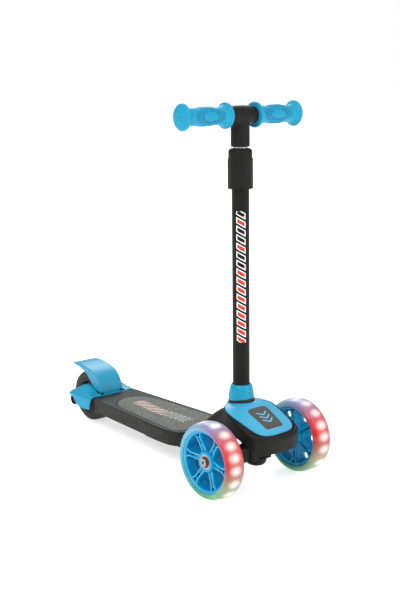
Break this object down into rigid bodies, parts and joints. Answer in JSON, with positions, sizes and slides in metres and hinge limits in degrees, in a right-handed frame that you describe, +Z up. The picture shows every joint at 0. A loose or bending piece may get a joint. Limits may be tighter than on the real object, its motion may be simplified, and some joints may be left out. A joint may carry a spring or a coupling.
{
  "type": "kick scooter",
  "caption": "Child's kick scooter that steers by leaning, with lit front wheels, a telescoping handlebar held by a clamp lever, a flat deck and a fender brake on the rear wheel.",
  "frame": {"origin": "on the floor under the middle of the scooter's length and width", "axes": "+Z up along the stem, -Y forward to the front wheels, +X to the rider's left"},
  "size_m": [0.2362, 0.54, 0.5917],
  "materials": {
    "blue_plastic": "light blue moulded plastic, soft sheen",
    "grip_rubber": "light blue soft moulded rubber",
    "black_plastic": "black moulded plastic, satin",
    "black_metal": "black powder coat with white and red printed dashes",
    "hub_plastic": "mid blue moulded plastic",
    "tyre_clear": "clear frosted polyurethane lit from within in changing colours",
    "led_board": "white light strip with diodes",
    "black_tyre": "black polyurethane",
    "mat_rubber": "dark grey textured anti-slip rubber with a pale printed pattern",
    "badge_black": "dark plate with pale blue lines",
    "steel": "zinc plated steel",
    "chrome_steel": "bright plated steel",
    "seal_ring": "bearing steel with a red-brown seal",
    "spring_steel": "spring steel wire",
    "brake_pad": "hard black friction pad",
    "nylon": "white nylon bush"
  },
  "bodies": {
    "frame": {"outer_tube": "black_metal", "clamp_collar": "black_plastic", "clamp_screw": "steel", "clamp_nut": "steel", "lever_pin": "steel", "stem_collar": "blue_plastic", "collar_seal": "black_plastic", "button_spring": "spring_steel", "front_housing": "black_plastic", "front_cover": "blue_plastic", "badge_plate": "badge_black", "cover_screws": "steel", "steering_ball_pin": "steel", "lean_pivot_bolt": "steel", "deck": "black_plastic", "deck_mat": "mat_rubber", "deck_screws": "steel", "rear_cover": "blue_plastic", "rear_cover_screws": "steel", "brake_pivot_pin": "steel", "brake_spring": "spring_steel", "rear_axle_bolt": "steel", "rear_axle_nut": "steel", "rear_spacers": "steel"},
    "handlebar": {"handlebar_tee": "black_plastic", "crossbar": "steel", "grip_right": "grip_rubber", "grip_left": "grip_rubber", "inner_tube": "steel", "guide_bush": "nylon", "tee_screw": "steel"},
    "clamp_lever": {"clamp_lever": "black_plastic"},
    "lock_button": {"lock_button": "black_plastic"},
    "truck": {"truck_beam": "black_plastic", "lean_bushings": "grip_rubber", "kingpins": "steel"},
    "knuckle_right": {"steering_knuckle_right": "black_plastic", "tie_rod_pin_right": "steel", "front_axle_bolt_right": "chrome_steel", "axle_spacer_right": "steel", "magnet_core_right": "steel"},
    "knuckle_left": {"steering_knuckle_left": "black_plastic", "tie_rod_pin_left": "steel", "front_axle_bolt_left": "chrome_steel", "axle_spacer_left": "steel", "magnet_core_left": "steel"},
    "tie_rod": {"tie_rod": "steel"},
    "wheel_right": {"front_hub_right": "hub_plastic", "front_tyre_right": "tyre_clear", "led_ring_right": "led_board", "front_bearings_right": "seal_ring"},
    "wheel_left": {"front_hub_left": "hub_plastic", "front_tyre_left": "tyre_clear", "led_ring_left": "led_board", "front_bearings_left": "seal_ring"},
    "rear_wheel": {"rear_tyre": "black_tyre", "rear_hub": "black_plastic", "rear_bearings": "seal_ring"},
    "brake": {"brake_fender": "blue_plastic", "brake_pad": "brake_pad"}
  },
  "joints": [
    {"name": "bar_slide", "type": "slide", "parent": "frame", "child": "handlebar", "axis": [0, 0.018, 0.9998], "range_m": [0, 0.13]},
    {"name": "clamp_lever_hinge", "type": "hinge", "parent": "frame", "child": "clamp_lever", "pos_m": [-0.01343, -0.16158, 0.48455], "axis": [0, 0.018, 0.9998], "range_deg": [0, 90]},
    {"name": "lock_button_press", "type": "slide", "parent": "frame", "child": "lock_button", "axis": [0, -0.9998, 0.018], "range_m": [0, 0.005], "stiffness_N_per_m": 400, "springref_m": -0.001, "deforming": ["button_spring"]},
    {"name": "lean", "type": "hinge", "parent": "frame", "child": "truck", "pos_m": [0, -0.213, 0.054], "axis": [0, 1, 0], "range_deg": [-12, 12], "stiffness_Nm_per_rad": 15},
    {"name": "steer_right", "type": "hinge", "parent": "truck", "child": "knuckle_right", "pos_m": [-0.056, -0.213, 0.06], "axis": [0, 0, 1], "range_deg": [-9.9, 9.9]},
    {"name": "steer_left", "type": "hinge", "parent": "truck", "child": "knuckle_left", "pos_m": [0.056, -0.213, 0.06], "axis": [0, 0, 1], "range_deg": [-9.9, 9.9]},
    {"name": "tie_rod_pivot", "type": "hinge", "parent": "knuckle_right", "child": "tie_rod", "pos_m": [-0.056, -0.189, 0.035], "axis": [0, 0, 1], "range_deg": [-9.9, 9.9]},
    {"name": "wheel_right_spin", "type": "hinge", "parent": "knuckle_right", "child": "wheel_right", "pos_m": [-0.093, -0.213, 0.06], "axis": [1, 0, 0], "continuous": true},
    {"name": "wheel_left_spin", "type": "hinge", "parent": "knuckle_left", "child": "wheel_left", "pos_m": [0.093, -0.213, 0.06], "axis": [1, 0, 0], "continuous": true},
    {"name": "rear_wheel_spin", "type": "hinge", "parent": "frame", "child": "rear_wheel", "pos_m": [0, 0.221, 0.046], "axis": [1, 0, 0], "continuous": true},
    {"name": "brake_press", "type": "hinge", "parent": "frame", "child": "brake", "pos_m": [0, 0.171, 0.0536], "axis": [-1, 0, 0], "range_deg": [0, 3.6], "stiffness_Nm_per_rad": 6, "springref_deg": -4.58, "deforming": ["brake_spring"]}
  ],
  "couplings": [
    {"joint": "steer_right", "follows": "lean", "ratio": -0.7917},
    {"joint": "steer_left", "follows": "lean", "ratio": -0.7917},
    {"joint": "tie_rod_pivot", "follows": "lean", "ratio": 0.7917}
  ]
}
